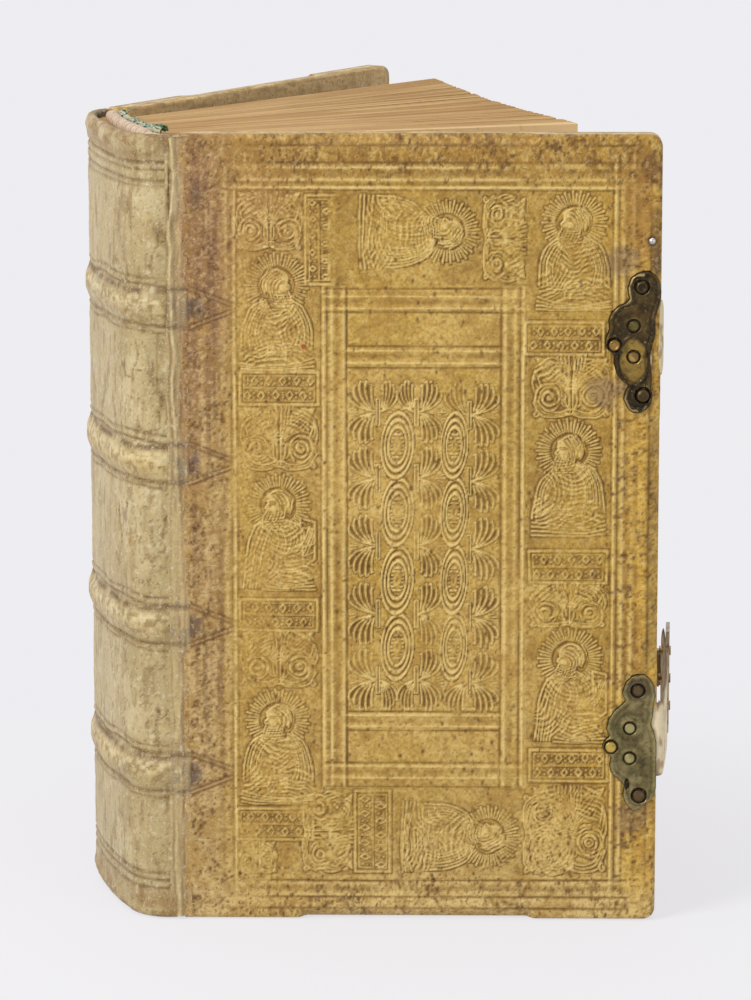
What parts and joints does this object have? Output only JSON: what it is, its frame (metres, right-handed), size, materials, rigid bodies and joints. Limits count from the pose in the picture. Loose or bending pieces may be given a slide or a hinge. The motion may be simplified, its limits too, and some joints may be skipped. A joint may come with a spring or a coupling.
{
  "type": "antique leather book",
  "caption": "Antique octavo in blind-tooled pigskin over bevelled wooden boards, with raised bands, endbands, strap plates and one clasp strap, standing fanned open",
  "frame": {"origin": "middle of the flat part of the front board's tail edge, on which the book stands", "axes": "+Z runs from tail to head, +X along the front board from the joint to the fore-edge, +Y from the front board's outer face towards the rear board"},
  "size_m": [0.1252, 0.129, 0.165],
  "materials": {
    "oak": "bare old oak",
    "board_leather": "blind-tooled pigskin, matt, ochre",
    "spine_leather": "plain pigskin, matt, cream",
    "pages": "toned rag paper edges, matt",
    "pastedown": "stained laid paper, matt",
    "parchment": "parchment waste, matt",
    "hemp": "hemp cord",
    "endband": "linen core worked in faded pink and white",
    "silk": "green silk thread",
    "brass": "patinated brass, satin",
    "nail": "worn brass heads",
    "steel": "worn, bare metal",
    "strap": "alum-tawed strap leather, cream"
  },
  "bodies": {
    "book_block": {"text_block": "pages", "spine_leather": "spine_leather", "spine_linings": "parchment", "band_cord_1": "hemp", "band_cord_2": "hemp", "band_cord_3": "hemp", "band_cord_4": "hemp", "head_endband": "endband", "head_endband_silk": "silk", "tail_endband": "endband", "tail_endband_silk": "silk"},
    "front_cover": {"front_board": "oak", "front_leather": "board_leather", "front_pastedown": "pastedown", "upper_strap_plate": "brass", "upper_strap_nails": "nail", "upper_strap_stub": "strap", "lower_strap_plate": "brass", "lower_strap_nails": "nail", "lower_strap_anchor": "strap", "edge_nail": "steel"},
    "rear_cover": {"rear_board": "oak", "rear_leather": "board_leather", "rear_pastedown": "pastedown", "upper_catch": "brass", "upper_catch_nails": "nail", "lower_catch": "brass", "lower_catch_nails": "nail"},
    "lower_clasp": {"lower_strap": "strap", "lower_hook": "steel", "lower_hook_rivets": "nail"}
  },
  "joints": [
    {"name": "front_joint", "type": "hinge", "parent": "book_block", "child": "front_cover", "pos_m": [-0.0497, -0.0037, 0], "axis": [0, 0, 1], "range_deg": [-115, 13]},
    {"name": "rear_joint", "type": "hinge", "parent": "book_block", "child": "rear_cover", "pos_m": [-0.06699, 0.04117, 0], "axis": [0, 0, 1], "range_deg": [-5, 110]},
    {"name": "strap_bend", "type": "hinge", "parent": "front_cover", "child": "lower_clasp", "pos_m": [0.0499, -0.00355, 0], "axis": [0, 0, 1], "range_deg": [-84, 2]}
  ]
}
